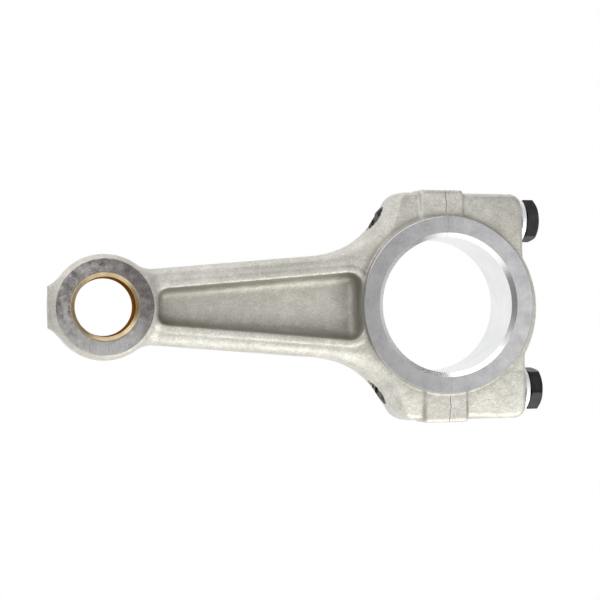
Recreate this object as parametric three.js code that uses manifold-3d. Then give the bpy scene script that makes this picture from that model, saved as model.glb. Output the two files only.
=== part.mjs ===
// A small-engine connecting rod: a die-cast aluminium rod and its fracture-split cap, a bronze
// piston-pin bush, and two cap screws with a plain washer under each head.
//
// Millimetres. The rod lies on its thrust faces: X runs along the rod towards the crankpin, Y across it,
// and Z is the direction of both bores. The shapes are drawn about the crankpin bore's centre at
// mid-width; the whole group is then moved so that the origin is under the middle of the rod.

import * as THREE from 'three';
import { mergeVertices } from 'three/addons/utils/BufferGeometryUtils.js';
import Module from 'manifold-3d';

const wasm = await Module();
wasm.setup();

// Driving dimensions

const centreDistance = 110;
const endWidth = 22;
const facets = 64;

const crankBoreRadius = 22;
const crankBoreChamfer = 1.4;
const thrustRingRadius = 28.75;
const bossWidth = 18.4;
const bossHalfHeight = 37.05;
const crownRadius = 31.3;
const capFaceX = 26.9;
const capCornerRadius = 4;
const splitGap = 0.06;
const pastSplit = 4;
const bandProud = 0.85;
const bandRodSide = 8.7;
const bandCapSide = 6.2;

const beamWidth = 17.2;
const webWidth = 6;
const beamEdgeRadius = 1.8;
const beamStart = -98;
const beamEnd = -43;
const beamHalfHeightAtEnd = 16.4;
const beamTaper = 0.082;

const pocketStart = -93.9;
const pocketEnd = -28.6;
const pocketHalfHeightAtEnd = 11.05;
const pocketWallRun = 1.9;

const eyeRadius = 16.3;
const eyeFaceRadius = 14.1;
const bushRadius = 10.7;
const pinBoreRadius = 9.25;
const bushChamfer = 1.1;
const bushFit = 0.02;

const padFaceX = -127.4;
const padHalfHeight = 6.5;
const padRootHalfHeight = 9;
const padRootX = -122;
const padWidth = 17;
const padBevel = 0.6;

const screwSpacing = 56.4;
const screwRadius = 3.97;
const screwAcrossFlats = 12.7;
const screwHeadHeight = 4.7;
const screwTurn = THREE.MathUtils.degToRad(12.5);
const screwTipX = -21;
const holeRadius = 4.35;
const spotFaceX = 26.6;
const spotFaceRadius = 8;
const washerRadius = 7.4;
const washerThickness = 2.2;
const washerHoleRadius = 4.4;
const seatGap = 0.05;

const middleX = (padFaceX + spotFaceX + washerThickness + screwHeadHeight + 2 * seatGap) / 2;

// Helpers

function toSolid(geometry) {
  const bare = geometry.clone();
  bare.deleteAttribute('normal');
  bare.deleteAttribute('uv');
  const merged = mergeVertices(bare, 1e-4);
  const mesh = new wasm.Mesh({
    numProp: 3,
    vertProperties: new Float32Array(merged.attributes.position.array),
    triVerts: new Uint32Array(merged.index.array),
  });
  return new wasm.Manifold(mesh);
}

function toGeometry(solid) {
  const mesh = solid.getMesh();
  const geometry = new THREE.BufferGeometry();
  geometry.setAttribute('position', new THREE.BufferAttribute(new Float32Array(mesh.vertProperties), 3));
  geometry.setIndex(new THREE.BufferAttribute(new Uint32Array(mesh.triVerts), 1));
  geometry.computeVertexNormals();
  return geometry;
}

// A plate of the given outline, centred on mid-width, with both rims rounded by the same radius.
function roundedPlate(shape, width, radius) {
  const geometry = new THREE.ExtrudeGeometry(shape, {
    depth: width - 2 * radius,
    bevelThickness: radius,
    bevelSize: radius,
    bevelOffset: -radius,
    bevelSegments: 2,
  });
  geometry.translate(0, 0, radius - width / 2);
  return toSolid(geometry);
}

// A body of revolution about Z, from a closed or axis-to-axis profile of [radius, height] pairs.
function turnedAboutZ(profile, segments = facets) {
  const points = profile.map(([radius, height]) => new THREE.Vector2(radius, height));
  const geometry = new THREE.LatheGeometry(points, segments);
  geometry.rotateX(Math.PI / 2);
  return toSolid(geometry);
}

// A body of revolution about X, from [radius, x] pairs in order of rising x.
function turnedAboutX(profile, segments) {
  const points = profile.map(([radius, x]) => new THREE.Vector2(radius, x));
  const geometry = new THREE.LatheGeometry(points, segments);
  geometry.rotateZ(-Math.PI / 2);
  return toSolid(geometry);
}

function block(lowX, highX, lowY, highY, width) {
  const geometry = new THREE.BoxGeometry(highX - lowX, highY - lowY, width);
  geometry.translate((lowX + highX) / 2, (lowY + highY) / 2, 0);
  return toSolid(geometry);
}

// Outlines

function beamHalfHeight(x) {
  return beamHalfHeightAtEnd + beamTaper * (x - beamEnd);
}

// A closed outline from its upper half, which runs along X above the rod's centre line or ends on it.
function mirroredOutline(upperHalf, divisions) {
  const upper = upperHalf.getPoints(divisions);
  const above = upper.filter((point) => point.y > 1e-6);
  const lower = above.map((point) => new THREE.Vector2(point.x, -point.y)).reverse();
  return new THREE.Shape([...upper, ...lower]);
}

// The beam with its flanks flaring into the bolt bosses, drawn a little past the split.
function rodOutline() {
  const flank = new THREE.Path();
  flank.moveTo(beamStart, beamHalfHeight(beamStart));
  flank.lineTo(beamEnd, beamHalfHeight(beamEnd));
  flank.quadraticCurveTo(-30.8, 17.4, -23.2, 26.5);
  flank.lineTo(-18.7, 33.8);
  flank.quadraticCurveTo(-16.9, bossHalfHeight, -13, bossHalfHeight);
  flank.lineTo(pastSplit, bossHalfHeight);
  return mirroredOutline(flank, 10);
}

// The cap: two bolt bosses with the round crown between them.
function capOutline() {
  const crownJoin = Math.acos(capFaceX / crownRadius);
  const flank = new THREE.Path();
  flank.moveTo(-pastSplit, bossHalfHeight);
  flank.lineTo(capFaceX - capCornerRadius, bossHalfHeight);
  flank.absarc(
    capFaceX - capCornerRadius,
    bossHalfHeight - capCornerRadius,
    capCornerRadius,
    Math.PI / 2,
    0,
    true,
  );
  flank.lineTo(capFaceX, crownRadius * Math.sin(crownJoin));
  flank.absarc(0, 0, crownRadius, crownJoin, 0, true);
  return mirroredOutline(flank, 5);
}

// The floor of the lightening pocket; its walls lean outwards from here to the flange tops.
function pocketOutline() {
  const low = pocketStart + pocketWallRun;
  const high = pocketEnd - pocketWallRun;
  const halfHeight = (x) => pocketHalfHeightAtEnd - pocketWallRun + beamTaper * (x - pocketEnd);
  const cornerLow = 2.2;
  const cornerHigh = 3.2;
  const edge = new THREE.Path();
  edge.moveTo(low, halfHeight(low) - cornerLow);
  edge.quadraticCurveTo(low, halfHeight(low), low + cornerLow, halfHeight(low + cornerLow));
  edge.lineTo(high - cornerHigh, halfHeight(high - cornerHigh));
  edge.quadraticCurveTo(high, halfHeight(high), high, halfHeight(high) - cornerHigh);
  return mirroredOutline(edge, 4);
}

function padOutline() {
  const edge = new THREE.Path();
  edge.moveTo(padFaceX, padHalfHeight);
  edge.lineTo(padRootX, padRootHalfHeight);
  return mirroredOutline(edge, 1);
}

// Features shared by the rod and its cap

function thrustRing() {
  const half = endWidth / 2;
  const edge = 0.4;
  return turnedAboutZ([
    [0, -half],
    [thrustRingRadius - edge, -half],
    [thrustRingRadius, -half + edge],
    [thrustRingRadius, half - edge],
    [thrustRingRadius - edge, half],
    [0, half],
  ]);
}

function crankBoreCutter() {
  const half = endWidth / 2;
  const past = 1;
  return turnedAboutZ([
    [0, -half - past],
    [crankBoreRadius + crankBoreChamfer + past, -half - past],
    [crankBoreRadius, -half + crankBoreChamfer],
    [crankBoreRadius, half - crankBoreChamfer],
    [crankBoreRadius + crankBoreChamfer + past, half + past],
    [0, half + past],
  ]);
}

function screwHoleCutter(side) {
  const reach = 40;
  const hole = turnedAboutX([[0, -reach], [holeRadius, -reach], [holeRadius, reach], [0, reach]], 32);
  return hole.translate([0, side * screwSpacing / 2, 0]);
}

// A raised fitting band on each bolt boss, where the flanks were gauged before the cap was cracked off.
function fittingBand(lowX, highX) {
  return block(lowX, highX, -bossHalfHeight - bandProud, bossHalfHeight + bandProud, bossWidth - 3);
}

function splitHalf(side) {
  const size = 200;
  const near = side * splitGap / 2;
  const far = side * size;
  return block(Math.min(near, far), Math.max(near, far), -size / 2, size / 2, size);
}

// Sub-parts

// The small-end eye, drafted from its middle and rounded into its machined end faces.
function pinEye() {
  const half = endWidth / 2;
  const eye = turnedAboutZ([
    [0, -half],
    [eyeFaceRadius, -half],
    [eyeFaceRadius + 1.3, -half + 0.5],
    [eyeRadius - 0.4, -half + 1.7],
    [eyeRadius, 0],
    [eyeRadius - 0.4, half - 1.7],
    [eyeFaceRadius + 1.3, half - 0.5],
    [eyeFaceRadius, half],
    [0, half],
  ]);
  return eye.translate([-centreDistance, 0, 0]);
}

// One lightening pocket, cut down to the web with a hollow curve at the foot of its walls.
function pocketCutter() {
  const geometry = new THREE.ExtrudeGeometry(pocketOutline(), {
    depth: 4,
    bevelThickness: (beamWidth - webWidth) / 2,
    bevelSize: pocketWallRun,
    bevelSegments: 3,
  });
  geometry.translate(0, 0, beamWidth / 2);
  return toSolid(geometry).subtract(thrustRing());
}

function rodBodyGeometry() {
  const half = endWidth / 2;
  const flare = block(-36, 1, -60, 60, bossWidth + 2);
  const beam = roundedPlate(rodOutline(), beamWidth, beamEdgeRadius);
  const boss = roundedPlate(rodOutline(), bossWidth, beamEdgeRadius).intersect(flare);
  const pad = roundedPlate(padOutline(), padWidth, padBevel);
  let body = beam.add(boss).add(pinEye()).add(pad).add(thrustRing()).add(fittingBand(-bandRodSide, 1));

  body = body.subtract(pocketCutter()).subtract(pocketCutter().rotate([180, 0, 0]));

  const past = half + 1;
  const bushHole = turnedAboutZ([[0, -past], [bushRadius, -past], [bushRadius, past], [0, past]]);
  body = body.subtract(bushHole.translate([-centreDistance, 0, 0])).subtract(crankBoreCutter());
  body = body.subtract(screwHoleCutter(1)).subtract(screwHoleCutter(-1));
  return toGeometry(body.intersect(splitHalf(-1)));
}

function rodCapGeometry() {
  const plate = roundedPlate(capOutline(), bossWidth, beamEdgeRadius);
  let body = plate.add(thrustRing()).add(fittingBand(-1, bandCapSide));
  body = body.subtract(crankBoreCutter());
  for (const side of [1, -1]) {
    const past = crownRadius;
    const seat = [[0, spotFaceX], [spotFaceRadius, spotFaceX], [spotFaceRadius, past], [0, past]];
    const spotFace = turnedAboutX(seat, 32);
    body = body.subtract(screwHoleCutter(side));
    body = body.subtract(spotFace.translate([0, side * screwSpacing / 2, 0]));
  }
  return toGeometry(body.intersect(splitHalf(1)));
}

function bushGeometry() {
  const half = endWidth / 2;
  const outer = bushRadius - bushFit;
  const bore = pinBoreRadius;
  const profile = [
    [bore, -half + bushChamfer],
    [bore + bushChamfer, -half],
    [outer, -half],
    [outer, half],
    [bore + bushChamfer, half],
    [bore, half - bushChamfer],
    [bore, -half + bushChamfer],
  ];
  const points = profile.map(([radius, height]) => new THREE.Vector2(radius, height));
  const geometry = new THREE.LatheGeometry(points, facets);
  geometry.rotateX(Math.PI / 2);
  geometry.deleteAttribute('normal');
  geometry.deleteAttribute('uv');
  return mergeVertices(geometry, 1e-4);
}

// The screw stands with its bearing face at x = 0 and its shank towards -X.
function screwGeometry() {
  const cornerRadius = screwAcrossFlats / Math.sqrt(3);
  const bearingX = spotFaceX + washerThickness + 2 * seatGap;
  const length = bearingX - screwTipX;
  const tipChamfer = 0.9;
  const headOverlap = 0.5;
  const shank = turnedAboutX([
    [0, -length],
    [screwRadius - tipChamfer, -length],
    [screwRadius, -length + tipChamfer],
    [screwRadius, headOverlap],
    [0, headOverlap],
  ], 24);

  const corners = [];
  for (let corner = 0; corner < 6; corner += 1) {
    const angle = corner * Math.PI / 3;
    corners.push(new THREE.Vector2(cornerRadius * Math.cos(angle), cornerRadius * Math.sin(angle)));
  }
  const hexagon = new THREE.Shape(corners);
  const headGeometry = new THREE.ExtrudeGeometry(hexagon, { depth: screwHeadHeight, bevelEnabled: false });
  headGeometry.rotateY(Math.PI / 2);
  const crown = 1.2;
  const turnedEnvelope = turnedAboutX([
    [0, 0],
    [cornerRadius + 0.2, 0],
    [cornerRadius + 0.2, screwHeadHeight - crown],
    [cornerRadius - 1.5, screwHeadHeight],
    [0, screwHeadHeight],
  ], 48);
  const head = toSolid(headGeometry).intersect(turnedEnvelope);
  return toGeometry(shank.add(head));
}

function washerGeometry() {
  const profile = [
    [washerHoleRadius, 0],
    [washerRadius, 0],
    [washerRadius, washerThickness],
    [washerHoleRadius, washerThickness],
    [washerHoleRadius, 0],
  ];
  const points = profile.map(([radius, x]) => new THREE.Vector2(radius, x));
  const geometry = new THREE.LatheGeometry(points, 40);
  geometry.rotateZ(-Math.PI / 2);
  geometry.deleteAttribute('normal');
  geometry.deleteAttribute('uv');
  return mergeVertices(geometry, 1e-4);
}

// Materials

function castAluminium() {
  return new THREE.MeshStandardMaterial({ color: 0xb9b4a8, roughness: 0.55, metalness: 0.8 });
}

function bearingBronze() {
  return new THREE.MeshStandardMaterial({ color: 0xb48a4a, roughness: 0.35, metalness: 0.9 });
}

function blackOxideSteel() {
  return new THREE.MeshStandardMaterial({ color: 0x2b2a2a, roughness: 0.45, metalness: 0.6 });
}

function platedSteel() {
  return new THREE.MeshStandardMaterial({ color: 0xc9c9c6, roughness: 0.3, metalness: 0.95 });
}

// Assembly

function namedMesh(name, geometry, material) {
  const mesh = new THREE.Mesh(geometry, material);
  mesh.name = name;
  return mesh;
}

const connectingRod = new THREE.Group();
connectingRod.position.set(-middleX, 0, endWidth / 2);
connectingRod.add(namedMesh('rod_body', rodBodyGeometry(), castAluminium()));
connectingRod.add(namedMesh('rod_cap', rodCapGeometry(), castAluminium()));

const bush = namedMesh('small_end_bush', bushGeometry(), bearingBronze());
bush.position.x = -centreDistance;
connectingRod.add(bush);

for (const [place, side] of [['upper', 1], ['lower', -1]]) {
  const screw = namedMesh(`cap_bolt_${place}`, screwGeometry(), blackOxideSteel());
  screw.position.set(spotFaceX + washerThickness + 2 * seatGap, side * screwSpacing / 2, 0);
  screw.rotation.x = -side * screwTurn;
  connectingRod.add(screw);

  const washer = namedMesh(`bolt_washer_${place}`, washerGeometry(), platedSteel());
  washer.position.set(spotFaceX + seatGap, side * screwSpacing / 2, 0);
  connectingRod.add(washer);
}

export default connectingRod;
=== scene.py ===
"""A small-engine connecting rod: cast aluminium rod and cracked-off cap, bronze bush, two cap screws.

The casting is drawn as one signed distance field, so that its fillets flow as they do in a die casting.
It is then machined with crisp cutters and cracked along a rough sheet into the rod and the cap, as the
real part is made. Drawing units are millimetres about the crankpin axis at mid-width.
"""

import math

import bpy
import numpy as np
import openvdb
from mathutils import Matrix, Vector


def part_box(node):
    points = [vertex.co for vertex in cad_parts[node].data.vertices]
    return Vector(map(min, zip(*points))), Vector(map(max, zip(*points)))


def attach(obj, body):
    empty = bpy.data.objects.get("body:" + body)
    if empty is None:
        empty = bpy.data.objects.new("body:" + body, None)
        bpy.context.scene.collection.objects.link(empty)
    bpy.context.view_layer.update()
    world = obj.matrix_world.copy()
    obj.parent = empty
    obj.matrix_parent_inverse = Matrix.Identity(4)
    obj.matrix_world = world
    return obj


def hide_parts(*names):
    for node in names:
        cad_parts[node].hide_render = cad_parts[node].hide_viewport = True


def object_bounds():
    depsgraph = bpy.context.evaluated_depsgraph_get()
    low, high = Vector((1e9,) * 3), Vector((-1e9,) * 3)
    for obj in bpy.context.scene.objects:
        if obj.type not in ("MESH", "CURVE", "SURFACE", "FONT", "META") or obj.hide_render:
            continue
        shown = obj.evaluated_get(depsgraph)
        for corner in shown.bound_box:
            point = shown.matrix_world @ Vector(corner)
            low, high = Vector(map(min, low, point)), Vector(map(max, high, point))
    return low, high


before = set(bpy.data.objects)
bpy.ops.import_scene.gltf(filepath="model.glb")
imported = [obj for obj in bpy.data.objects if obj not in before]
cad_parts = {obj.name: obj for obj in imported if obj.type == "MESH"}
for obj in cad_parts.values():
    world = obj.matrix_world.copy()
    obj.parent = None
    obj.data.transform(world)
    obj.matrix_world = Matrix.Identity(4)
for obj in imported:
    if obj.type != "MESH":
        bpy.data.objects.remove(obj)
cad_low, cad_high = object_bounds()

# ---------------------------------------------------------------- places, from the frame

MM = 0.001

rod_low, rod_high = (Vector(corner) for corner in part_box("rod_body"))
cap_low = Vector(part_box("rod_cap")[0])
bush_low, bush_high = (Vector(corner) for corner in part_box("small_end_bush"))
screw_low, screw_high = (Vector(corner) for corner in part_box("cap_bolt_upper"))
washer_low, washer_high = (Vector(corner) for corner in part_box("bolt_washer_upper"))

ORIGIN = Vector(((rod_high.x + cap_low.x) / 2, 0, (cad_low.z + cad_high.z) / 2))
HALF_WIDTH = (cad_high.z - cad_low.z) / 2 / MM
PIN_X = ((bush_low.x + bush_high.x) / 2 - ORIGIN.x) / MM
PAD_X = (rod_low.x - ORIGIN.x) / MM
BAND_Y = rod_high.y / MM
BUSH_RADIUS = (bush_high.y - bush_low.y) / 2 / MM
SCREW_Y = (washer_low.y + washer_high.y) / 2 / MM
SEAT_X = (washer_low.x - ORIGIN.x) / MM
BEARING_X = (washer_high.x - ORIGIN.x) / MM
TIP_X = (screw_low.x - ORIGIN.x) / MM
HEAD_X = (screw_high.x - ORIGIN.x) / MM
WASHER_RADIUS = (washer_high.y - washer_low.y) / 2 / MM

# ---------------------------------------------------------------- sizes, in millimetres

CRANK_RADIUS = 22.0
CRANK_CHAMFER = 1.4
RING_RADIUS = 28.75
BAND_PROUD = 0.85
BAND_FRONT_PROUD = 0.45
BAND_LOW_X = -8.7
BAND_HIGH_X = 6.2
BAND_EDGE = 1.2
BOSS_Y = BAND_Y - BAND_PROUD
BOSS_HALF = 9.2
BOSS_CROWN = 0.0055
BOSS_CROWN_FROM_Y = 24
CROWN_RADIUS = 31.3
CAP_FACE_X = SEAT_X + 0.25
CAP_CORNER = 4.0
SPOT_RADIUS = 8.0

BEAM_HALF = 8.6
BEAM_EDGE = 3.4  # radius of the flange's outer edge: less at the bosses, more at the shoulders
BOSS_EDGE_LESS = 1.6
SHOULDER_EDGE_MORE = 2.4
WEB_HALF = 3.0
BEAM_START = -98.0
BEAM_END = -43.0
BEAM_END_Y = 16.15
BEAM_TAPER = 0.085
DRAFT = 0.04
DRAFT_FROM = 7.0
SEAM = 0.12
CAST_STOCK = 0.6
CASTING_LEAN = 0.0135
CASTING_LOW = 0.42
CASTING_TILT = 0.0027

POCKET_LOW = -93.9
POCKET_HIGH = -28.6
POCKET_HIGH_Y = 11.05
POCKET_SLOPE = 0.18
BEAD_HEIGHT = 0.3
BEAD_WIDTH = 2.0

# Fillets, and the softened edge of the pocket.
EYE_FILLET = 3.0
EYE_FOOT_FILLET = 0.8
PAD_FILLET = 2.0
POCKET_FLOOR_FILLET = 3.2
POCKET_EDGE = 0.7
BAND_FILLET = 0.7
RING_FILLET = 0.9

EYE_RADIUS = 16.2
EYE_RIM = 3.5
PAD_HALF = 8.5
PAD_EDGE = 0.7
PIN_RADIUS = 9.25
BUSH_CHAMFER = 1.1

THREAD_RADIUS = 3.97
THREAD_PITCH = 25.4 / 24
THREAD_DEPTH = 0.6
THREAD_END_X = 2.0
THREAD_FIT = 0.17
CLEARANCE_RADIUS = 4.35
HOLE_STEP_X = -1.8  # the clearance holes end just past the crack
HOLE_MOUTH_X = -27.0  # just outside the tapped holes' mouths in the shoulders
# Where the near-black painted shade in the tapped holes starts. In the upper hole that is farther out by the
# shift, and in the lower one less far out.
SHADE_FROM_X = SEAT_X - 48.6
SHADE_SHIFT = 0.7
SMALL_END_X = -60.0  # all of the small end's faces lie below this, and all of the big end's above
# The angle of each head's corner from straight up, towards +Y, in degrees, by side.
SCREW_TURN = {1: 12.5, -1: -9.0}
ACROSS_FLATS = 12.7
WASHER_FACE = 0.7
WASHER_HOLE = 4.3
WASHER_DISH = 0.75
SEAT_LEAN = CASTING_LEAN * SCREW_Y

CRACK_GAP = 0.05
CRACK_GAP_AT_SKIN = 0.18

VOXEL = 0.45


# ---------------------------------------------------------------- signed distances


def smooth_min(a, b, blend):
    near = np.maximum(blend - np.abs(a - b), 0) / blend
    return np.minimum(a, b) - near * near * blend / 4


def smooth_max(a, b, blend):
    return -smooth_min(-a, -b, blend)


def smooth_step(low, high, value):
    t = np.clip((value - low) / (high - low), 0, 1)
    return t * t * (3 - 2 * t)


def rounded_edge(side, face, radius):
    """The body inside both distances, with the edge between them rounded to that radius."""
    a = side + radius
    b = face + radius
    outside = np.hypot(np.maximum(a, 0), np.maximum(b, 0))
    return np.minimum(np.maximum(a, b), 0) + outside - radius


def half_outline_distance(points, x, y):
    """Distance to an outline that is mirrored in the X axis, negative inside. y is never negative."""
    nearest = np.full(np.broadcast(x, y).shape, 1e9)
    inside = np.zeros(nearest.shape, bool)
    for (ax, ay), (bx, by) in zip(points[:-1], points[1:]):
        ex = bx - ax
        ey = by - ay
        t = np.clip(((x - ax) * ex + (y - ay) * ey) / (ex * ex + ey * ey), 0, 1)
        nearest = np.minimum(nearest, (x - ax - t * ex) ** 2 + (y - ay - t * ey) ** 2)
        if ay != by:
            inside ^= ((ay > y) != (by > y)) & (x < ex * (y - ay) / ey + ax)
    return np.where(inside, -1, 1) * np.sqrt(nearest)


# ---------------------------------------------------------------- outlines


def bend(start, control, end, steps=10):
    """Points of a quadratic curve, without its start."""
    points = []
    for step in range(1, steps + 1):
        t = step / steps
        points.append(
            tuple(
                (1 - t) ** 2 * a + 2 * t * (1 - t) * b + t * t * c
                for a, b, c in zip(start, control, end)
            )
        )
    return points


def arc(centre_x, centre_y, radius, start, end, steps=10):
    """Points of an arc between two angles in radians, both ends included."""
    angles = np.linspace(start, end, steps + 1)
    return [(centre_x + radius * math.cos(a), centre_y + radius * math.sin(a)) for a in angles]


def beam_y(x):
    return BEAM_END_Y + BEAM_TAPER * (x - BEAM_END)


def casting_outline():
    """Flank, sloping shoulder, bolt boss, cap corner and crown, from the small end round to the tip."""
    beam_end = (BEAM_END, beam_y(BEAM_END))
    shoulder = (-22.7, 26.4)
    brow = (-18.1, 33.6)
    points = [(BEAM_START, 0), (BEAM_START, beam_y(BEAM_START)), beam_end]
    points += bend(beam_end, (-30.4, 17.3), shoulder, 14)
    points += [brow]
    points += bend(brow, (-16.3, BOSS_Y), (-12.6, BOSS_Y))
    points += arc(CAP_FACE_X - CAP_CORNER, BOSS_Y - CAP_CORNER, CAP_CORNER, math.pi / 2, 0)
    join = math.acos(CAP_FACE_X / CROWN_RADIUS)
    points += arc(0, 0, CROWN_RADIUS, join, 0)
    return points


def pocket_outline():
    """Edge of the lightening pocket at the flange tops, from its small end round to its big end."""

    def edge_y(x):
        return POCKET_HIGH_Y + BEAM_TAPER * (x - POCKET_HIGH)

    low_corner = 3.4
    high_corner = 5.0
    low_start = (POCKET_LOW, edge_y(POCKET_LOW) - low_corner)
    low_end = (POCKET_LOW + low_corner, edge_y(POCKET_LOW + low_corner))
    high_start = (POCKET_HIGH - high_corner, edge_y(POCKET_HIGH - high_corner))
    high_end = (POCKET_HIGH, edge_y(POCKET_HIGH) - high_corner)
    points = [(POCKET_LOW, 0), low_start]
    points += bend(low_start, (POCKET_LOW, edge_y(POCKET_LOW)), low_end, 6)
    points += [high_start]
    points += bend(high_start, (POCKET_HIGH, edge_y(POCKET_HIGH)), high_end, 8)
    points += [(POCKET_HIGH, 0)]
    return points


def pad_outline():
    """The end pad, flat at its tip and widening into the eye."""
    tip_y = 6.5
    root_y = 9.0
    root_x = PAD_X + 9
    return [(PAD_X, 0), (PAD_X, tip_y), (PAD_X + 5.4, root_y), (root_x, root_y), (root_x, 0)]


CASTING = casting_outline()
POCKET = pocket_outline()
PAD = pad_outline()


def casting_field(true_x, true_y, z):
    """Signed distance to the raw casting, rod and cap in one, before any machining.

    The casting lay a little low and leaning when it was machined, so all but its thrust ring is off the
    bores' axes."""
    y = true_y + CASTING_LOW + CASTING_TILT * true_x
    x = true_x + CASTING_LEAN * y * smooth_step(-60, -35, true_x)
    y = np.abs(y)
    z = np.abs(z)
    draft = DRAFT * (z - DRAFT_FROM) - SEAM * smooth_step(0.7, 0.2, z)
    from_pin = np.hypot(x - PIN_X, y)
    pocket_edge = half_outline_distance(POCKET, x, y)

    bead = BEAD_HEIGHT * smooth_step(-1, 0.3, pocket_edge)
    bead = bead * smooth_step(BEAD_WIDTH + 0.6, BEAD_WIDTH - 0.4, pocket_edge)
    crown = BOSS_CROWN * np.maximum(y - BOSS_CROWN_FROM_Y, 0) ** 2
    half = BEAM_HALF + (BOSS_HALF - BEAM_HALF) * smooth_step(-48, -32, x) + bead - crown
    shoulder = smooth_step(-38, -26, x) * smooth_step(-13, -19, x)
    rim = BEAM_EDGE - BOSS_EDGE_LESS * smooth_step(-20, -12, x) + SHOULDER_EDGE_MORE * shoulder
    plate = rounded_edge(half_outline_distance(CASTING, x, y) + draft, z - half, rim)

    eye = rounded_edge(from_pin - EYE_RADIUS + draft, z - HALF_WIDTH - CAST_STOCK, EYE_RIM)
    pad = rounded_edge(half_outline_distance(PAD, x, y), z - PAD_HALF, PAD_EDGE)
    body = smooth_min(plate, eye, EYE_FILLET)

    wall = (pocket_edge + POCKET_SLOPE * (BEAM_HALF - z)) / math.hypot(1, POCKET_SLOPE)
    pocket = smooth_max(wall, WEB_HALF - z, POCKET_FLOOR_FILLET)
    body = smooth_max(body, -pocket, POCKET_EDGE)
    body = smooth_min(body, eye, EYE_FOOT_FILLET)
    body = smooth_min(body, pad, PAD_FILLET)

    across_band = np.abs(x - (BAND_LOW_X + BAND_HIGH_X) / 2) - (BAND_HIGH_X - BAND_LOW_X) / 2
    band_side = smooth_max(across_band, y - BAND_Y + draft, BAND_EDGE)
    band = rounded_edge(band_side, z - BOSS_HALF - BAND_FRONT_PROUD, BAND_EDGE)
    band = np.maximum(band, CRANK_RADIUS - y)
    body = smooth_min(body, band, BAND_FILLET)

    ring = np.maximum(np.hypot(true_x, true_y) - RING_RADIUS, z - HALF_WIDTH - CAST_STOCK)
    return smooth_min(body, ring, RING_FILLET)


# ---------------------------------------------------------------- meshes


def new_object(name, points, faces):
    """A mesh object from points in drawing units."""
    mesh = bpy.data.meshes.new(name)
    placed = np.asarray(points, float) * MM + np.array(ORIGIN)
    mesh.from_pydata(placed.tolist(), [], [list(face) for face in faces])
    mesh.update()
    thing = bpy.data.objects.new(name, mesh)
    bpy.context.scene.collection.objects.link(thing)
    return thing


def settle_on_surface(points, field, steps=3):
    """Moves points onto the zero of the field, along its slope."""
    reach = 0.05
    least_steepness = 0.25
    for _ in range(steps):
        x, y, z = points.T
        value = field(x, y, z)
        slope = np.stack(
            [
                field(x + reach, y, z) - value,
                field(x, y + reach, z) - value,
                field(x, y, z + reach) - value,
            ],
            axis=1,
        ) / reach
        steepness = np.maximum((slope**2).sum(axis=1), least_steepness)
        move = -(value / steepness)[:, None] * slope
        points = points + np.clip(move, -VOXEL / 2, VOXEL / 2)
    return points


def mesh_from_field(name, field, low, high):
    axes = [np.arange(a, b + VOXEL, VOXEL) for a, b in zip(low, high)]
    x, y, z = np.meshgrid(*axes, indexing="ij", sparse=True)
    values = np.ascontiguousarray(np.broadcast_to(field(x, y, z), [len(a) for a in axes]), np.float32)
    grid = openvdb.FloatGrid(VOXEL * 3)
    grid.copyFromArray(np.clip(values, -VOXEL * 3, VOXEL * 3))
    grid.transform = openvdb.createLinearTransform(voxelSize=VOXEL)
    points, quads = grid.convertToQuads(isovalue=0)
    points = settle_on_surface(points.astype(float) + np.array(low), field)
    return new_object(name, points, quads)


def lathe(name, profile, axis="Z", segments=192, centre=(0, 0, 0)):
    """A closed body turned about an axis, from (radius, height) pairs.

    The pairs start and end on the axis, or go once round the section of a ring."""
    angles = np.linspace(0, 2 * math.pi, segments, endpoint=False)
    rings = [(radius, height) for radius, height in profile if radius > 0]
    points = [(r * math.cos(a), r * math.sin(a), h) for r, h in rings for a in angles]
    faces = []
    for ring in range(len(rings) - 1):
        for i in range(segments):
            j = (i + 1) % segments
            a = ring * segments
            b = a + segments
            faces.append((a + i, a + j, b + j, b + i))
    last = (len(rings) - 1) * segments
    if profile[0][0] == 0:
        faces.append(tuple(reversed(range(segments))))
        faces.append(tuple(range(last, last + segments)))
    else:
        for i in range(segments):
            j = (i + 1) % segments
            faces.append((last + i, last + j, j, i))
    points = np.array(points)
    if axis == "X":
        points = points[:, [2, 0, 1]]
    return new_object(name, points + np.array(centre), faces)


def cut(target, cutter, operation="DIFFERENCE"):
    """Applies a boolean to the target's mesh and throws the cutter away."""
    modifier = target.modifiers.new("cut", "BOOLEAN")
    modifier.operation = operation
    modifier.solver = "MANIFOLD"
    modifier.object = cutter
    depsgraph = bpy.context.evaluated_depsgraph_get()
    mesh = bpy.data.meshes.new_from_object(target.evaluated_get(depsgraph))
    target.modifiers.remove(modifier)
    old = target.data
    target.data = mesh
    mesh.name = target.name
    bpy.data.meshes.remove(old)
    bpy.data.objects.remove(cutter)


def block(name, low, high):
    corners = [(x, y, z) for x in (low[0], high[0]) for y in (low[1], high[1]) for z in (low[2], high[2])]
    faces = [(0, 1, 3, 2), (4, 6, 7, 5), (0, 4, 5, 1), (2, 3, 7, 6), (0, 2, 6, 4), (1, 5, 7, 3)]
    return new_object(name, corners, faces)


def finish_shading(thing, angle=30):
    thing.data.shade_smooth()
    thing.data.set_sharp_from_angle(angle=math.radians(angle))


# ---------------------------------------------------------------- threads


def thread_radius(x, turn, clearance):
    """Radius of a right-hand thread, symmetrical and with rounded crests, at x and an angle in turns."""
    phase = (x / THREAD_PITCH - turn) % 1.0
    height = 1 - np.abs(2 * phase - 1)
    height = np.clip((height - 0.12) / 0.7, 0, 1)
    return THREAD_RADIUS - THREAD_DEPTH * (1 - height) + clearance


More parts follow.
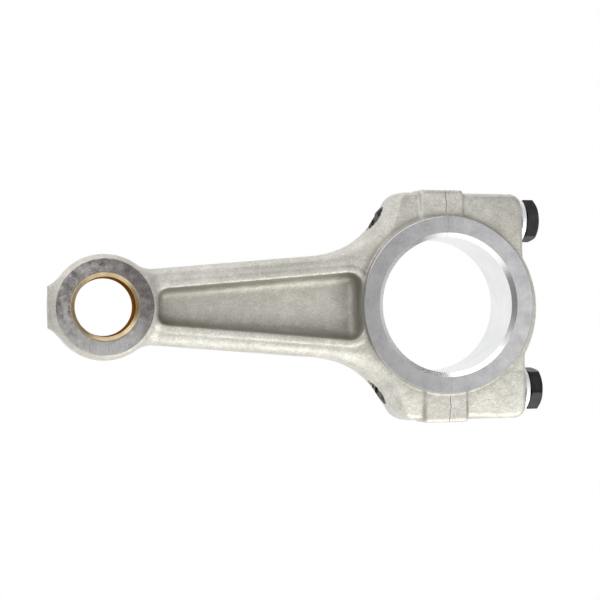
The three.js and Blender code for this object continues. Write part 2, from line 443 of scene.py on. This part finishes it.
def threaded_rod(name, low_x, high_x, clearance=0.0, tip=0.9, plain=None, per_turn=10, around=48):
    """A threaded bar along X, closed at both ends, with a coned tip and an optional plain shank.

    plain is (end x, radius) of a shank that carries on from high_x."""
    stations = list(np.arange(low_x, high_x, THREAD_PITCH / per_turn)) + [high_x]
    turns = np.arange(around) / around
    rows = []
    for x in stations:
        radius = thread_radius(x, turns, clearance)
        if tip:
            radius = np.minimum(radius, THREAD_RADIUS - tip + (x - low_x))
        rows.append((x, radius))
    if plain:
        end, plain_radius = plain
        rows.append((high_x + 0.5, np.full(around, plain_radius)))
        rows.append((end, np.full(around, plain_radius)))
    points = []
    for x, radius in rows:
        for r, t in zip(radius, turns):
            points.append((x, r * math.cos(2 * math.pi * t), r * math.sin(2 * math.pi * t)))
    faces = []
    for row in range(len(rows) - 1):
        for i in range(around):
            j = (i + 1) % around
            a = row * around
            b = a + around
            faces.append((a + i, a + j, b + j, b + i))
    last = (len(rows) - 1) * around
    faces.append(tuple(reversed(range(around))))
    faces.append(tuple(range(last, last + around)))
    return new_object(name, points, faces)


# ---------------------------------------------------------------- the crack


def value_noise(rng, rows, columns, cells_r, cells_c):
    """Smooth noise between -1 and 1 on a grid, from a coarser grid of random values."""
    coarse = rng.uniform(-1, 1, (cells_r + 2, cells_c + 2))
    r = np.linspace(0, cells_r, rows)
    c = np.linspace(0, cells_c, columns)
    r0 = r.astype(int)
    c0 = c.astype(int)
    fr = (r - r0)[:, None]
    fc = (c - c0)[None, :]
    a = coarse[np.ix_(r0, c0)] * (1 - fr) + coarse[np.ix_(r0 + 1, c0)] * fr
    b = coarse[np.ix_(r0, c0 + 1)] * (1 - fr) + coarse[np.ix_(r0 + 1, c0 + 1)] * fr
    return a * (1 - fc) + b * fc


def crack_block(name, side):
    """Everything on the cap's side of the crack, from its rod face (side -1) or its cap face (side 1).

    The gap opens out where the crack runs through the cast skin of the bosses."""
    half_y = BAND_Y + 4
    half_z = HALF_WIDTH + 3
    step = 0.55
    rows = int(2 * half_y / step)
    columns = int(2 * half_z / step)
    ys = np.linspace(-half_y, half_y, rows)
    zs = np.linspace(-half_z, half_z, columns)
    rng = np.random.default_rng(7)
    rough = 0.30 * value_noise(rng, rows, columns, 30, 10)
    rough += 0.20 * value_noise(rng, rows, columns, 70, 24)
    rough += 0.10 * value_noise(rng, rows, columns, 150, 50)
    gap = CRACK_GAP + (CRACK_GAP_AT_SKIN - CRACK_GAP) * smooth_step(29, 30.5, np.abs(ys))[:, None]
    front = rough - CASTING_LEAN * ys[:, None] + side * gap / 2
    far = 45.0
    points = [(front[i, j], ys[i], zs[j]) for i in range(rows) for j in range(columns)]
    rim = [(0, j) for j in range(columns)]
    rim += [(i, columns - 1) for i in range(1, rows)]
    rim += [(rows - 1, j) for j in range(columns - 2, -1, -1)]
    rim += [(i, 0) for i in range(rows - 2, 0, -1)]
    back = len(points)
    points += [(far, ys[i], zs[j]) for i, j in rim]
    faces = []
    for i in range(rows - 1):
        for j in range(columns - 1):
            a = i * columns + j
            faces.append((a, a + 1, a + columns + 1, a + columns))
    for k, (i, j) in enumerate(rim):
        n = (k + 1) % len(rim)
        a = i * columns + j
        b = rim[n][0] * columns + rim[n][1]
        faces.append((b, a, back + k, back + n))
    faces.append(tuple(back + k for k in reversed(range(len(rim)))))
    return new_object(name, points, faces)


# ---------------------------------------------------------------- the casting, machined and cracked


def crank_bore():
    past = 1.0
    edge = CRANK_RADIUS + CRANK_CHAMFER + past
    return lathe(
        "crank_bore",
        [
            (0, -HALF_WIDTH - past),
            (edge, -HALF_WIDTH - past),
            (CRANK_RADIUS, -HALF_WIDTH + CRANK_CHAMFER),
            (CRANK_RADIUS, HALF_WIDTH - CRANK_CHAMFER),
            (edge, HALF_WIDTH + past),
            (0, HALF_WIDTH + past),
        ],
        segments=256,
    )


def ring_edge(side):
    """Breaks the sharp outer edge of a thrust ring."""
    broken = 0.25
    reach = 1.0
    level = side * HALF_WIDTH
    inner = RING_RADIUS - broken
    profile = [
        (inner, level),
        (inner - 0.1, level + side * 0.1),
        (inner + reach, level + side * 0.1),
        (inner + reach, level - side * reach),
    ]
    return lathe("ring_edge", profile if side < 0 else profile[::-1], segments=256)


def screw_place(side):
    """Moves a screw or its hole from the crankpin's axis to its own, and turns its threads with its head."""
    about = Matrix.Translation(ORIGIN)
    spin = Matrix.Rotation(math.radians(90 - SCREW_TURN[side]), 4, "X")
    shift = Matrix.Translation(Vector((-side * SEAT_LEAN, side * SCREW_Y, 0)) * MM)
    return shift @ about @ spin @ about.inverted()


def machined_casting():
    margin = 1.5
    low = (PAD_X - margin, -BAND_Y - margin, -HALF_WIDTH - margin)
    high = (CROWN_RADIUS + margin, BAND_Y + margin, HALF_WIDTH + margin)
    casting = mesh_from_field("rod_casting", casting_field, low, high)
    beyond = 200.0  # past the casting on every side
    cut(casting, block("faces", (-beyond, -beyond, -HALF_WIDTH), (beyond, beyond, HALF_WIDTH)), "INTERSECT")
    cut(casting, crank_bore())
    for side in (1, -1):
        cut(casting, ring_edge(side))
    past = HALF_WIDTH + 1
    seat_radius = BUSH_RADIUS + 0.01
    bush_seat = [(0, -past), (seat_radius, -past), (seat_radius, past), (0, past)]
    cut(casting, lathe("bush_seat", bush_seat, centre=(PIN_X, 0, 0)))
    open_x = 40.0  # clear of the casting at the cap's end and, made negative, at the shoulders
    for side in (1, -1):
        centre = (0, side * SCREW_Y, 0)
        hole = [(0, HOLE_STEP_X), (CLEARANCE_RADIUS, HOLE_STEP_X), (CLEARANCE_RADIUS, open_x), (0, open_x)]
        cut(casting, lathe("clearance_hole", hole, "X", 96, centre))
        seat_x = SEAT_X - side * SEAT_LEAN
        seat = [(0, seat_x), (SPOT_RADIUS, seat_x), (SPOT_RADIUS, open_x), (0, open_x)]
        cut(casting, lathe("spot_face", seat, "X", 128, centre))
        thread = threaded_rod("tapped_hole", -open_x, 1.0, THREAD_FIT, tip=0, per_turn=6, around=32)
        thread.data.transform(screw_place(side))
        cut(casting, thread)
    return casting


rod = machined_casting()
cap = bpy.data.objects.new("cap_casting", rod.data.copy())
bpy.context.scene.collection.objects.link(cap)
cut(rod, crack_block("crack", -1))
cut(cap, crack_block("crack", 1), "INTERSECT")

# ---------------------------------------------------------------- bush, screws and washers


def bronze_bush():
    """The bush, a touch shorter than the rod is wide, with its bore chamfered at both ends."""
    half = HALF_WIDTH - 0.02
    outer = BUSH_RADIUS
    edge = 0.15
    profile = [
        (PIN_RADIUS, -half + BUSH_CHAMFER),
        (PIN_RADIUS + BUSH_CHAMFER, -half),
        (outer - edge, -half),
        (outer, -half + edge),
        (outer, half - edge),
        (outer - edge, half),
        (PIN_RADIUS + BUSH_CHAMFER, half),
        (PIN_RADIUS, half - BUSH_CHAMFER),
    ]
    return lathe("bronze_bush", profile, segments=192, centre=(PIN_X, 0, 0))


def hex_head(name):
    """A hexagon head with a chamfered crown and a round washer face, about the X axis."""
    corner = ACROSS_FLATS / math.sqrt(3)
    low = BEARING_X + WASHER_FACE
    ring = [(corner * math.cos(a), corner * math.sin(a)) for a in np.radians(np.arange(0, 360, 60))]
    points = [(low, y, z) for y, z in ring] + [(HEAD_X, y, z) for y, z in ring]
    faces = [tuple(reversed(range(6))), tuple(range(6, 12))]
    faces += [(i, (i + 1) % 6, 6 + (i + 1) % 6, 6 + i) for i in range(6)]
    head = new_object(name, points, faces)
    crown = ACROSS_FLATS / 2 - 0.1
    slope = 0.577  # a crown at 30 degrees
    reach = corner + 0.5
    envelope = [
        (0, low - 1),
        (reach, low - 1),
        (reach, HEAD_X - (reach - crown) * slope),
        (crown, HEAD_X),
        (0, HEAD_X),
    ]
    cut(head, lathe("crown", envelope, "X", 96), "INTERSECT")
    bearing = BEARING_X + 0.03
    face_radius = 6.2
    inside = low + 0.5
    face = [
        (0, bearing),
        (face_radius - 0.1, bearing),
        (face_radius, BEARING_X + 0.15),
        (face_radius, inside),
        (0, inside),
    ]
    cut(head, lathe("washer_face", face, "X", 96), "UNION")
    return head


def cap_screw(name, side):
    """A cap screw in its place: head, plain shank and thread in one."""
    screw = hex_head(name)
    plain = (BEARING_X + 1.0, THREAD_RADIUS - 0.05)
    shank = threaded_rod("shank", TIP_X, THREAD_END_X, tip=1.5, plain=plain)
    cut(screw, shank, "UNION")
    screw.data.transform(screw_place(side))
    return screw


def dished_washer(name, side):
    """A washer whose underside is coned, so that its rim stands off the seat."""
    edge = 0.15
    clear = 0.01  # from the seat, and from the head
    low = SEAT_X - side * SEAT_LEAN + clear
    high = low + BEARING_X - SEAT_X - 2 * clear
    dish_width = 1.9
    profile = [
        (WASHER_HOLE, low + edge),
        (WASHER_HOLE + edge, low),
        (WASHER_RADIUS - dish_width, low),
        (WASHER_RADIUS - edge, low + WASHER_DISH),
        (WASHER_RADIUS, low + WASHER_DISH + edge),
        (WASHER_RADIUS, high - edge),
        (WASHER_RADIUS - edge, high),
        (WASHER_HOLE + edge, high),
        (WASHER_HOLE, high - edge),
    ]
    return lathe(name, profile, "X", 128, (0, side * SCREW_Y, 0))


bush = bronze_bush()
upper_screw = cap_screw("hex_screw_upper", 1)
lower_screw = cap_screw("hex_screw_lower", -1)
upper_washer = dished_washer("dished_washer_upper", 1)
lower_washer = dished_washer("dished_washer_lower", -1)

for piece in (rod, cap, bush, upper_screw, lower_screw, upper_washer, lower_washer):
    finish_shading(piece)

# ---------------------------------------------------------------- materials


class Nodes:
    """A short way to build a Principled material."""

    def __init__(self, name):
        self.material = bpy.data.materials.new(name)
        self.material.use_nodes = True
        self.tree = self.material.node_tree
        self.shader = self.tree.nodes["Principled BSDF"]
        self.object = self.tree.nodes.new("ShaderNodeTexCoord").outputs["Object"]

    def add(self, kind, **settings):
        node = self.tree.nodes.new(kind)
        for key, value in settings.items():
            setattr(node, key, value)
        return node

    def link(self, source, target):
        self.tree.links.new(source, target)

    def noise(self, scale, detail=3.0, roughness=0.55, vector=None):
        node = self.add("ShaderNodeTexNoise")
        node.inputs["Scale"].default_value = scale
        node.inputs["Detail"].default_value = detail
        node.inputs["Roughness"].default_value = roughness
        self.link(vector or self.object, node.inputs["Vector"])
        return node.outputs["Fac"]

    def stretched(self, scale):
        """Object coordinates with a scale on each axis."""
        node = self.add("ShaderNodeMapping")
        node.inputs["Scale"].default_value = scale
        self.link(self.object, node.inputs["Vector"])
        return node.outputs["Vector"]

    def corner_shade(self, tone, reach, low, high, colour):
        """tone with a darker colour painted into inside corners as painted shade, over that reach in metres.

        low and high are how open to the air a place is where the colour is full and where it is gone."""
        corner = self.add("ShaderNodeAmbientOcclusion", samples=8, only_local=True)
        corner.inputs["Distance"].default_value = reach
        open_to_air = self.ramp(corner.outputs["AO"], low, high)
        return self.mix(open_to_air, colour, tone)

    def towards(self, centre_x, way, low, high):
        """0 to 1 along a direction in the flat, between two distances from (centre_x, 0)."""
        offset = self.add("ShaderNodeVectorMath", operation="SUBTRACT")
        offset.inputs[1].default_value = (ORIGIN.x + centre_x * MM, ORIGIN.y, 0)
        self.link(self.object, offset.inputs[0])
        along = self.add("ShaderNodeVectorMath", operation="DOT_PRODUCT")
        along.inputs[1].default_value = (math.cos(way), math.sin(way), 0)
        self.link(offset.outputs["Vector"], along.inputs[0])
        return self.ramp(along.outputs["Value"], low, high)

    def turned_marks(self, centre_x, scale):
        """Uneven rings about an axis parallel to Z, as a turning tool leaves. centre_x in drawing units."""
        offset = self.add("ShaderNodeVectorMath", operation="SUBTRACT")
        offset.inputs[1].default_value = (ORIGIN.x + centre_x * MM, ORIGIN.y, 0)
        self.link(self.object, offset.inputs[0])
        flat = self.add("ShaderNodeVectorMath", operation="MULTIPLY")
        flat.inputs[1].default_value = (1, 1, 0)
        self.link(offset.outputs["Vector"], flat.inputs[0])
        radius = self.add("ShaderNodeVectorMath", operation="LENGTH")
        self.link(flat.outputs["Vector"], radius.inputs[0])
        rings = self.add("ShaderNodeTexNoise", noise_dimensions="1D")
        rings.inputs["Scale"].default_value = scale
        self.link(radius.outputs["Value"], rings.inputs["W"])
        return rings.outputs["Fac"]

    def ramp(self, value, low, high):
        """value stretched so that low is 0 and high is 1."""
        node = self.add("ShaderNodeMapRange")
        node.inputs["From Min"].default_value = low
        node.inputs["From Max"].default_value = high
        self.link(value, node.inputs["Value"])
        return node.outputs["Result"]

    def math(self, operation, a, b):
        node = self.add("ShaderNodeMath", operation=operation)
        for socket, value in zip(node.inputs, (a, b)):
            if isinstance(value, (int, float)):
                socket.default_value = value
            else:
                self.link(value, socket)
        return node.outputs["Value"]

    def mix(self, amount, a, b):
        node = self.add("ShaderNodeMix", data_type="RGBA")
        for socket, value in zip((node.inputs[0], node.inputs[6], node.inputs[7]), (amount, a, b)):
            if isinstance(value, tuple):
                socket.default_value = (*value, 1)
            elif isinstance(value, (int, float)):
                socket.default_value = value
            else:
                self.link(value, socket)
        return node.outputs[2]

    def bump(self, height, strength, distance, normal=None):
        node = self.add("ShaderNodeBump")
        node.inputs["Strength"].default_value = strength
        node.inputs["Distance"].default_value = distance
        self.link(height, node.inputs["Height"])
        if normal:
            self.link(normal, node.inputs["Normal"])
        return node.outputs["Normal"]

    def set(self, **inputs):
        for key, value in inputs.items():
            socket = self.shader.inputs[key.replace("_", " ")]
            if isinstance(value, tuple):
                socket.default_value = (*value, 1)
            elif isinstance(value, (int, float)):
                socket.default_value = value
            else:
                self.link(value, socket)


def cast_skin():
    """Warm grey die-cast skin: cloudy tone, fine speckle, painted shade in inside corners and a slightly
    pebbled surface.
    """
    n = Nodes("cast_skin")
    cloud = n.ramp(n.noise(60, 4, 0.6), 0.35, 0.65)
    blotch = n.ramp(n.noise(330, 4, 0.7), 0.38, 0.66)
    speckle = n.ramp(n.noise(1500, 3, 0.7), 0.5, 0.66)
    glint = n.ramp(n.noise(2100, 2, 0.6), 0.54, 0.68)
    tone = n.mix(cloud, (0.63, 0.61, 0.555), (0.80, 0.79, 0.74))
    tone = n.mix(n.math("MULTIPLY", blotch, 0.6), tone, (0.52, 0.50, 0.445))
    tone = n.mix(n.math("MULTIPLY", speckle, 0.32), tone, (0.33, 0.315, 0.265))
    tone = n.mix(n.math("MULTIPLY", glint, 0.55), tone, (0.93, 0.925, 0.89))
    # Painted shade: a broad darkening over 24 mm in the pocket and corners, then a thin dark line at inside
    # edges over 2.6 mm.
    tone = n.corner_shade(tone, 0.024, 0.12, 1.0, (0.20, 0.188, 0.145))
    tone = n.corner_shade(tone, 0.0026, 0.4, 0.92, (0.26, 0.245, 0.20))
    pebble = n.bump(n.noise(1300, 3, 0.65), 0.6, 0.00014)
    pebble = n.bump(n.noise(260, 3, 0.6), 0.5, 0.0005, pebble)
    rough = n.math("ADD", n.math("MULTIPLY", cloud, 0.08), 0.54)
    n.set(Base_Color=tone, Metallic=0.85, Roughness=rough, Normal=pebble)
    return n.material


def turned_ring():
    """Bluish bright aluminium, turned about the crankpin axis and a little scuffed, darker towards the beam,
    and with painted shade towards the lower boss.
    """
    n = Nodes("turned_ring")
    patch = n.ramp(n.noise(180, 4, 0.65), 0.36, 0.66)
    fleck = n.ramp(n.noise(1500, 3, 0.7), 0.52, 0.72)
    tone = n.mix(patch, (0.44, 0.43, 0.44), (0.63, 0.625, 0.63))
    tone = n.mix(n.math("MULTIPLY", fleck, 0.2), tone, (0.36, 0.35, 0.36))
    by_beam = n.towards(0.0, math.pi, -0.004, 0.03)
    tone = n.mix(n.math("MULTIPLY", by_beam, 0.42), tone, (0.25, 0.24, 0.245))
    # Painted shade: the ring is darkened towards the lower boss, on the side the key light falls from.
    painted_shade_by_lower_boss = n.towards(0.0, -math.pi / 2, 0.012, 0.028)
    tone = n.mix(n.math("MULTIPLY", painted_shade_by_lower_boss, 0.32), tone, (0.30, 0.295, 0.30))
    marks = n.turned_marks(0.0, 2600)
    scuff = n.ramp(n.noise(700, 3, 0.7), 0.3, 0.7)
    normal = n.bump(marks, 0.25, 0.00003)
    normal = n.bump(scuff, 0.2, 0.00008, normal)
    rough = n.math("ADD", n.math("MULTIPLY", patch, 0.08), 0.26)
    n.set(Base_Color=tone, Metallic=1.0, Roughness=rough, Normal=normal)
    return n.material


def scuffed_face():
    """The small end's machined face: darker, faintly purple and pitted with fine scratches, with painted
    light towards the bottom and painted shade towards the throat.
    """
    n = Nodes("scuffed_face")
    patch = n.ramp(n.noise(420, 4, 0.75), 0.38, 0.64)
    wide = n.ramp(n.noise(90, 3, 0.5), 0.35, 0.65)
    tone = n.mix(patch, (0.115, 0.104, 0.102), (0.47, 0.45, 0.44))
    tone = n.mix(n.math("MULTIPLY", wide, 0.3), tone, (0.42, 0.41, 0.40))
    # Painted light: the face is lightened towards the bottom, where the key light falls from.
    painted_light_at_bottom = n.towards(PIN_X, math.radians(-90), 0.0, 0.016)
    tone = n.mix(n.math("MULTIPLY", painted_light_at_bottom, 0.75), tone, (0.62, 0.62, 0.61))
    # Painted shade: the face is darkened towards the throat, up and to the right.
    painted_shade_at_throat = n.towards(PIN_X, math.radians(30), 0.002, 0.013)
    tone = n.mix(n.math("MULTIPLY", painted_shade_at_throat, 0.6), tone, (0.09, 0.082, 0.082))
    scratch = n.ramp(n.noise(900, 4, 0.75, n.stretched((1.0, 0.25, 1.0))), 0.4, 0.6)
    normal = n.bump(scratch, 0.75, 0.00014)
    normal = n.bump(n.turned_marks(PIN_X, 2200), 0.2, 0.00004, normal)
    n.set(Base_Color=tone, Metallic=0.95, Roughness=0.42, Normal=normal)
    return n.material


def bored_aluminium():
    """Bright bored metal, with fine marks running round the bore."""
    n = Nodes("bored_aluminium")
    round_marks = n.noise(2600, 2, 0.6, n.stretched((0.05, 0.05, 1.0)))
    haze = n.ramp(n.noise(120, 3, 0.5), 0.3, 0.7)
    tone = n.mix(haze, (0.76, 0.765, 0.77), (0.86, 0.86, 0.86))
    n.set(Base_Color=tone, Metallic=1.0, Normal=n.bump(round_marks, 0.1, 0.00003))
    n.set(Roughness=n.math("ADD", n.math("MULTIPLY", haze, 0.12), 0.2))
    return n.material


def cracked_aluminium():
    """The torn surface where the cap was cracked off: matt and granular."""
    n = Nodes("cracked_aluminium")
    grain = n.noise(1400, 5, 0.75)
    tone = n.mix(n.ramp(grain, 0.35, 0.65), (0.34, 0.335, 0.32), (0.66, 0.65, 0.63))
    n.set(Base_Color=tone, Metallic=0.85, Roughness=0.72, Normal=n.bump(grain, 0.7, 0.0003))
    return n.material


def tapped_hole_shade():
    """Inside the screw holes: near black, painted shade deep in the holes."""
    n = Nodes("tapped_hole_shade")
    mottle = n.ramp(n.noise(400, 3, 0.6), 0.35, 0.65)
    tone = n.mix(mottle, (0.06, 0.058, 0.055), (0.16, 0.155, 0.145))
    n.set(Base_Color=tone, Metallic=0.6, Roughness=0.5, Normal=n.bump(mottle, 0.1, 0.00005))
    return n.material


def bronze(name, dark, light, roughness, metallic, specular):
    """Bearing bronze with tool marks round the bore and cloudy staining."""
    n = Nodes(name)
    cloud = n.ramp(n.noise(260, 4, 0.6), 0.35, 0.65)
    marks = n.noise(2400, 2, 0.6, n.stretched((0.06, 0.06, 1.0)))
    tone = n.mix(cloud, dark, light)
    n.set(Base_Color=tone, Metallic=metallic, Roughness=roughness, Specular_IOR_Level=specular)
    n.set(Normal=n.bump(marks, 0.25, 0.00004))
    return n.material


def black_oxide(name, sheen):
    """Blackened steel with fine grain. sheen sets how much it reflects: the upper screw gets a dimmed copy,
    painted shade, and the lower a glossed copy, painted sheen.
    """
    n = Nodes(name)
    cloud = n.ramp(n.noise(350, 4, 0.65), 0.35, 0.65)
    grain = n.noise(2600, 3, 0.6)
    tone = n.mix(cloud, (0.009, 0.009, 0.009), (0.026, 0.027, 0.026))
    rough = n.math("ADD", n.math("MULTIPLY", cloud, 0.14), 0.34)
    n.set(Base_Color=tone, Metallic=0.25 * sheen, Roughness=rough, Specular_IOR_Level=0.5 * sheen)
    n.set(Normal=n.bump(grain, 0.2, 0.00004))
    return n.material


def bright_zinc():
    """Bright zinc plate, slightly hazed."""
    n = Nodes("bright_zinc")
    haze = n.ramp(n.noise(500, 4, 0.6), 0.35, 0.65)
    tone = n.mix(haze, (0.90, 0.90, 0.91), (0.96, 0.96, 0.965))
    rough = n.math("ADD", n.math("MULTIPLY", haze, 0.15), 0.3)
    n.set(Base_Color=tone, Metallic=0.3, Roughness=rough, Normal=n.bump(haze, 0.15, 0.00003))
    return n.material


SKIN, RING, BORED, TORN, SHADED_HOLE, SCUFFED = range(6)
CASTING_MATERIALS = [
    cast_skin(),
    turned_ring(),
    bored_aluminium(),
    cracked_aluminium(),
    tapped_hole_shade(),
    scuffed_face(),
]
BUSH_MATERIALS = [
    bronze("bush_bronze", (0.56, 0.455, 0.28), (0.76, 0.65, 0.45), 0.34, 0.9, 0.5),
    # The bore wall: a dark, matt copy of the bush's bronze, painted shade in place of the dark reflection.
    bronze("bush_bore_painted_shade", (0.24, 0.095, 0.006), (0.36, 0.165, 0.015), 0.85, 0.0, 0.0),
]
# Two copies of one finish: the upper screw's is dimmed, painted shade, and the lower screw's glossed,
# painted sheen.
SCREW_MATERIALS = [black_oxide("black_oxide_dimmed", 0.35), black_oxide("black_oxide_glossed", 1.7)]
washer_material = bright_zinc()


def casting_zone(centre, normal):
    """Index in CASTING_MATERIALS for faces of the casting, by where they are. Drawing units."""
    x, y, z = centre
    from_crank = np.hypot(x, y)
    from_screw = np.hypot(np.abs(y) - SCREW_Y, z)
    seat_x = SEAT_X - np.sign(y) * SEAT_LEAN
    zone = np.full(x.shape, SKIN)
    faced = np.abs(z) > HALF_WIDTH - 0.01
    broken_edge = (np.abs(from_crank - RING_RADIUS + 0.12) < 0.13) & (np.abs(z) > HALF_WIDTH - 0.26)
    zone[broken_edge | (faced & (x > SMALL_END_X))] = RING
    zone[faced & (x < SMALL_END_X)] = SCUFFED
    zone[(from_crank < CRANK_RADIUS + CRANK_CHAMFER + 0.02) & (np.abs(z) < HALF_WIDTH - 0.001)] = BORED
    zone[(x > 0) & (from_screw < SPOT_RADIUS + 0.01) & (np.abs(x - seat_x) < 0.01)] = BORED
    in_hole = (from_screw < CLEARANCE_RADIUS + 0.02) & (x > HOLE_MOUTH_X)
    # Deep in the screw holes, the near-black painted shade; nearer the mouth, cast skin.
    zone[in_hole] = SHADED_HOLE
    zone[in_hole & (x < SHADE_FROM_X - np.sign(y) * SHADE_SHIFT)] = SKIN
    torn = (np.abs(x) < 1.7) & (np.abs(normal[0]) > 0.4) & (from_screw > CLEARANCE_RADIUS - 0.4)
    zone[torn & (from_crank > CRANK_RADIUS - 0.1)] = TORN
    return zone


def bush_zone(centre, normal):
    """The bush's bore wall, which gets the painted shade, is 1; its chamfers, faces and outside are 0."""
    x, y, _ = centre
    bore = np.hypot(x - PIN_X, y) < PIN_RADIUS + 0.05
    return (bore & (np.abs(normal[2]) < 0.3)).astype(int)


def paint(thing, materials, zone_of=None):
    mesh = thing.data
    mesh.materials.clear()
    for material in materials:
        mesh.materials.append(material)
    if zone_of is None:
        return
    count = len(mesh.polygons)
    centre = np.empty(count * 3)
    normal = np.empty(count * 3)
    mesh.polygons.foreach_get("center", centre)
    mesh.polygons.foreach_get("normal", normal)
    centre = ((centre.reshape(-1, 3) - np.array(ORIGIN)) / MM).T
    zone = zone_of(centre, normal.reshape(-1, 3).T)
    mesh.polygons.foreach_set("material_index", zone.astype(np.int32))
    mesh.update()


paint(rod, CASTING_MATERIALS, casting_zone)
paint(cap, CASTING_MATERIALS, casting_zone)
paint(bush, BUSH_MATERIALS, bush_zone)
paint(upper_screw, SCREW_MATERIALS[:1])
paint(lower_screw, SCREW_MATERIALS[1:])
for piece in (upper_washer, lower_washer):
    paint(piece, [washer_material])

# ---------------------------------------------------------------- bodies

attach(rod, "rod")
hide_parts("rod_body")
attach(cap, "cap")
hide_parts("rod_cap")
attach(bush, "rod")
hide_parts("small_end_bush")
for piece, place in ((upper_screw, "upper"), (lower_screw, "lower")):
    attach(piece, place + "_screw")
    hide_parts("cap_bolt_" + place)
for piece, place in ((upper_washer, "upper"), (lower_washer, "lower")):
    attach(piece, place + "_washer")
    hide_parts("bolt_washer_" + place)

# ---------------------------------------------------------------- stage, light and camera

scene = bpy.context.scene


def floor_material():
    material = bpy.data.materials.new("white_floor")
    material.use_nodes = True
    nodes = material.node_tree.nodes
    links = material.node_tree.links
    nodes.clear()
    output = nodes.new("ShaderNodeOutputMaterial")
    glow = nodes.new("ShaderNodeEmission")
    glow.inputs["Strength"].default_value = 1.0
    links.new(glow.outputs[0], output.inputs["Surface"])
    return material


def make_floor():
    half_size = 8.0
    clear = 0.0002
    mesh = bpy.data.meshes.new("floor")
    level = cad_low.z - clear
    around = ((-1, -1), (1, -1), (1, 1), (-1, 1))
    mesh.from_pydata([(half_size * x, half_size * y, level) for x, y in around], [], [(0, 1, 2, 3)])
    floor = bpy.data.objects.new("floor", mesh)
    floor.data.materials.append(floor_material())
    scene.collection.objects.link(floor)


def area_light(name, place, size, power, colour=(1, 1, 1)):
    light = bpy.data.lights.new(name, "AREA")
    light.shape = "RECTANGLE"
    light.size, light.size_y = size
    light.energy = power
    light.color = colour
    lamp = bpy.data.objects.new(name, light)
    lamp.location = place
    lamp.rotation_euler = (Vector((0, 0, 0)) - Vector(place)).to_track_quat("-Z", "Y").to_euler()
    scene.collection.objects.link(lamp)


def make_lights():
    """A broad key from the front, low strips behind and in front, and softboxes over both ends."""
    world = bpy.data.worlds.new("studio")
    world.use_nodes = True
    world.node_tree.nodes["Background"].inputs["Color"].default_value = (1, 1, 1, 1)
    world.node_tree.nodes["Background"].inputs["Strength"].default_value = 0.25
    scene.world = world
    area_light("key_front", (0.25, -0.46, 0.42), (0.55, 0.32), 2.7, (1.0, 0.99, 0.96))
    area_light("low_back", (-0.3, 0.8, 0.17), (1.6, 0.3), 2.9)
    area_light("low_front", (-0.15, -0.9, 0.23), (1.8, 0.42), 2.9, (1.0, 0.99, 0.97))
    area_light("over_big_end", (0.46, -0.03, 0.6), (0.36, 0.7), 0.75, (0.98, 0.99, 1.0))
    area_light("over_small_end", (-0.27, 0.2, 0.55), (0.22, 0.4), 1.2)


def make_camera():
    """Above the small end and looking towards the big end."""
    data = bpy.data.cameras.new("camera")
    data.sensor_width = 36
    data.lens = 70.4
    camera = bpy.data.objects.new("camera", data)
    tilt, pitch, roll = (math.radians(a) for a in (11.70, 0.75, -0.42))
    ahead = Vector((math.sin(tilt) * math.cos(pitch), math.sin(pitch), -math.cos(tilt) * math.cos(pitch)))
    right = ahead.cross(Vector((0, 1, 0))).normalized()
    up = right.cross(ahead)
    turned_right = right * math.cos(roll) + up * math.sin(roll)
    turned_up = up * math.cos(roll) - right * math.sin(roll)
    camera.matrix_world = Matrix((turned_right, turned_up, -ahead)).transposed().to_4x4()
    place = Vector((PIN_X - 14.46, -3.1, HALF_WIDTH + 362.25))
    camera.location = ORIGIN + place * MM
    scene.collection.objects.link(camera)
    scene.camera = camera


make_floor()
make_lights()
make_camera()
scene.view_settings.view_transform = "Standard"
